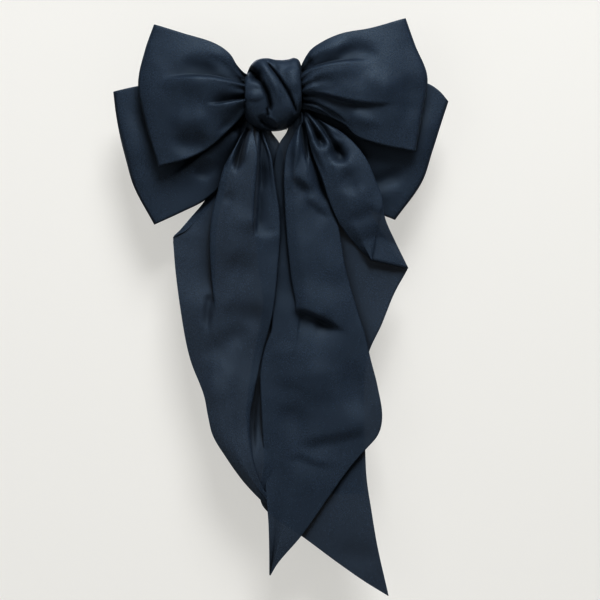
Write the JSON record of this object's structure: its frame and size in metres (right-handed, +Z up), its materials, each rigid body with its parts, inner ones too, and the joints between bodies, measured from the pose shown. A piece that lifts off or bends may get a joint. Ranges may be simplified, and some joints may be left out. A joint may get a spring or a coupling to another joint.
{
  "type": "hair bow",
  "caption": "Large double-layer satin hair bow with a gathered knot and long slanting tails, sewn to a spring barrette with a swing arm, tension bar and squeeze clasp.",
  "frame": {"origin": "middle of the gap that grips the hair, between the barrette's tension bar and its swing arm", "axes": "+Z up as worn, along the tails; the bow faces -Y; +Y points to the wearer's head; +X is the right of the picture"},
  "size_m": [0.219, 0.0497, 0.3755],
  "materials": {
    "satin": "soft dark navy satin, matte sheen, pressed edges",
    "thread": "dark waxed sewing thread",
    "felt": "dark pressed felt",
    "plated_steel": "nickel-plated stamped steel",
    "spring_steel": "polished spring steel"
  },
  "bodies": {
    "bow": {"upper_bow": "satin", "lower_bow": "satin", "front_strip": "satin", "back_strip": "satin", "knot_band": "satin", "waist_thread": "thread", "knot_stitches": "thread", "felt_backing": "felt", "barrette_stitches": "thread", "base_plate": "plated_steel", "hinge_pin": "plated_steel", "clasp_bracket": "plated_steel", "clasp_rivet": "plated_steel"},
    "tails": {"front_left_tail": "satin", "front_right_tail": "satin", "back_left_tail": "satin", "back_right_tail": "satin"},
    "arm": {"swing_arm": "plated_steel"},
    "spring": {"tension_bar": "spring_steel"},
    "upper_tab": {"upper_release_tab": "plated_steel"},
    "lower_tab": {"lower_release_tab": "plated_steel"}
  },
  "joints": [
    {"name": "tails_swing", "type": "hinge", "parent": "bow", "child": "tails", "pos_m": [0, -0.0256, -0.0888], "axis": [-1, 0, 0], "range_deg": [-8, 40]},
    {"name": "arm_swing", "type": "hinge", "parent": "bow", "child": "arm", "pos_m": [-0.0378, 0.0028, 0], "axis": [0, 0, 1], "range_deg": [0, 75]},
    {"name": "bar_press", "type": "slide", "parent": "bow", "child": "spring", "axis": [0, -1, 0], "range_m": [0, 0.0009], "stiffness_N_per_m": 2000},
    {"name": "upper_tab_squeeze", "type": "hinge", "parent": "bow", "child": "upper_tab", "pos_m": [0.0366, -0.0034, 0.0012], "axis": [-1, 0, 0], "range_deg": [0, 5], "stiffness_Nm_per_rad": 0.035},
    {"name": "lower_tab_squeeze", "type": "hinge", "parent": "bow", "child": "lower_tab", "pos_m": [0.0366, -0.0034, -0.0012], "axis": [1, 0, 0], "range_deg": [0, 5], "stiffness_Nm_per_rad": 0.035}
  ]
}
